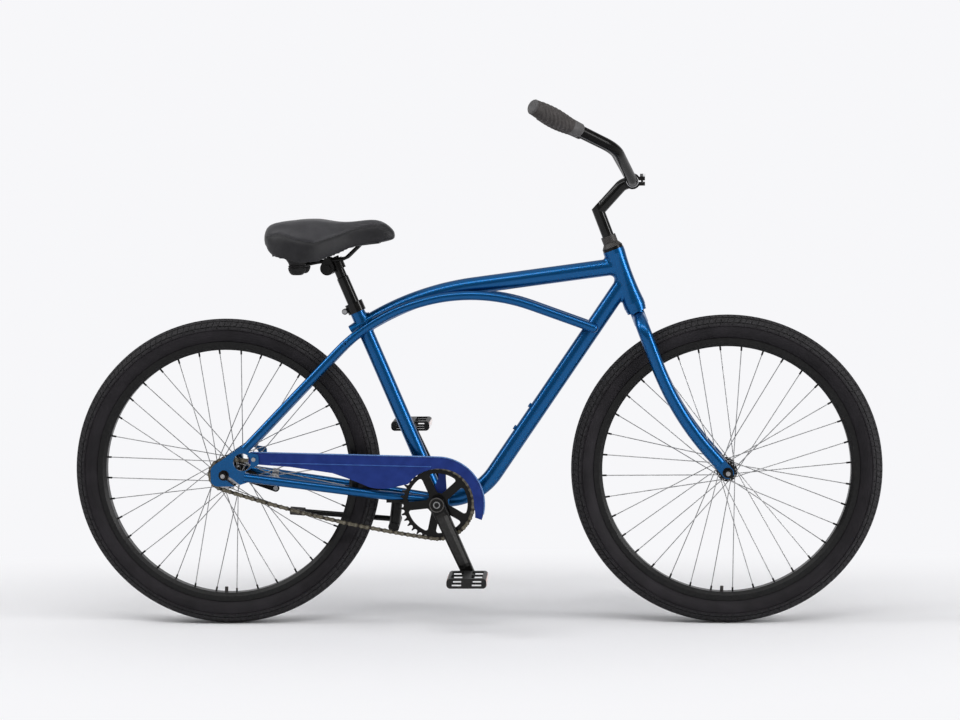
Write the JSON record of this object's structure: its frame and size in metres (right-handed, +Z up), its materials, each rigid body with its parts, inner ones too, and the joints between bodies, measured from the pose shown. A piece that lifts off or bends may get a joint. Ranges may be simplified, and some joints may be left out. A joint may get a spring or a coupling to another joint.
{
  "type": "cruiser bicycle",
  "caption": "Single-speed cruiser bicycle with swept frame tubes, balloon tyres, chain guard, back-pedal brake and swept handlebar.",
  "frame": {"origin": "on the ground, midway between the two axles", "axes": "+X forward, +Z up, the drive side at -Y"},
  "size_m": [1.7378, 0.6864, 1.1146],
  "materials": {
    "frame_paint": "gloss metallic blue",
    "black_steel": "gloss black",
    "black_alloy": "satin black",
    "bare_steel": "zinc plated",
    "chain_steel": "oiled bronze steel",
    "tyre_rubber": "matte black",
    "soft_rubber": "matte dark grey",
    "saddle_vinyl": "grained vinyl",
    "black_plastic": "moulded"
  },
  "bodies": {
    "frame": {"head_tube": "frame_paint", "top_tube": "frame_paint", "down_tube": "frame_paint", "seat_tube": "frame_paint", "bottom_bracket_shell": "frame_paint", "stay_tube_left": "frame_paint", "stay_tube_right": "frame_paint", "chain_stay_left": "frame_paint", "chain_stay_right": "frame_paint", "dropout_left": "frame_paint", "dropout_right": "frame_paint", "stay_bridge": "frame_paint", "headset_cups": "black_steel", "bb_cups": "bare_steel", "chain_guard": "frame_paint", "frame_bolts": "bare_steel", "seat_clamp": "black_steel", "rear_axle": "bare_steel", "rear_axle_nuts": "black_steel", "coaster_brake_arm": "black_steel", "brake_arm_clip": "bare_steel", "kickstand_bracket": "black_steel", "chain": "chain_steel"},
    "fork": {"fork_steerer": "frame_paint", "fork_blade_left": "frame_paint", "fork_blade_right": "frame_paint", "headset_locknut": "black_steel", "front_axle": "bare_steel", "front_axle_nuts": "black_steel"},
    "stem": {"stem": "black_steel", "stem_bolts": "bare_steel"},
    "handlebar": {"handlebar": "black_steel", "grips": "soft_rubber"},
    "front_wheel": {"front_tyre": "tyre_rubber", "front_inner_tube": "soft_rubber", "front_rim": "black_alloy", "front_spokes": "bare_steel", "front_hub": "black_alloy"},
    "rear_wheel": {"rear_tyre": "tyre_rubber", "rear_inner_tube": "soft_rubber", "rear_rim": "black_alloy", "rear_spokes": "bare_steel", "rear_hub": "black_alloy"},
    "rear_sprocket": {"rear_sprocket": "bare_steel"},
    "crank": {"crank_spindle": "bare_steel", "chainring": "black_steel", "crank_arm_right": "black_steel", "crank_arm_left": "black_steel", "crank_bolts": "black_steel", "pedal_axles": "bare_steel"},
    "pedal_right": {"pedal_right": "black_plastic"},
    "pedal_left": {"pedal_left": "black_plastic"},
    "seatpost": {"seatpost": "black_steel", "saddle_clamp": "black_steel"},
    "saddle": {"saddle_base": "black_plastic", "saddle_cover": "saddle_vinyl", "saddle_rails": "black_steel", "saddle_bumpers": "soft_rubber"},
    "kickstand": {"kickstand_leg": "black_steel", "kickstand_foot": "soft_rubber"}
  },
  "joints": [
    {"name": "steering", "type": "hinge", "parent": "frame", "child": "fork", "pos_m": [0.34399, 0, 0.68261], "axis": [-0.3502, 0, 0.9367], "range_deg": [-75, 75]},
    {"name": "stem_height", "type": "slide", "parent": "fork", "child": "stem", "axis": [-0.3502, 0, 0.9367], "range_m": [-0.01, 0.025]},
    {"name": "handlebar_tilt", "type": "hinge", "parent": "stem", "child": "handlebar", "pos_m": [0.33945, 0, 0.94888], "axis": [0, 1, 0], "range_deg": [-15, 20]},
    {"name": "front_wheel_spin", "type": "hinge", "parent": "fork", "child": "front_wheel", "pos_m": [0.537, 0, 0.332], "axis": [0, 1, 0], "continuous": true},
    {"name": "rear_wheel_spin", "type": "hinge", "parent": "frame", "child": "rear_wheel", "pos_m": [-0.537, 0, 0.332], "axis": [0, 1, 0], "continuous": true},
    {"name": "crank_spin", "type": "hinge", "parent": "frame", "child": "crank", "pos_m": [-0.08037, 0, 0.268], "axis": [0, 1, 0], "continuous": true, "deforming": ["chain"]},
    {"name": "sprocket_spin", "type": "hinge", "parent": "frame", "child": "rear_sprocket", "pos_m": [-0.537, 0, 0.332], "axis": [0, 1, 0], "continuous": true},
    {"name": "pedal_right_spin", "type": "hinge", "parent": "crank", "child": "pedal_right", "pos_m": [-0.01379, 0, 0.11703], "axis": [0, 1, 0], "continuous": true},
    {"name": "pedal_left_spin", "type": "hinge", "parent": "crank", "child": "pedal_left", "pos_m": [-0.14696, 0, 0.41897], "axis": [0, 1, 0], "continuous": true},
    {"name": "seat_height", "type": "slide", "parent": "frame", "child": "seatpost", "axis": [-0.3843, 0, 0.9232], "range_m": [-0.06, 0.06]},
    {"name": "saddle_tilt", "type": "hinge", "parent": "seatpost", "child": "saddle", "pos_m": [-0.31043, 0, 0.77123], "axis": [0, 1, 0], "range_deg": [-15, 15]},
    {"name": "kickstand_swing", "type": "hinge", "parent": "frame", "child": "kickstand", "pos_m": [-0.17837, 0.038, 0.216], "axis": [-0.116, -0.881, -0.4586], "range_deg": [0, 105]}
  ],
  "couplings": [
    {"joint": "sprocket_spin", "follows": "crank_spin", "ratio": 2.375}
  ]
}
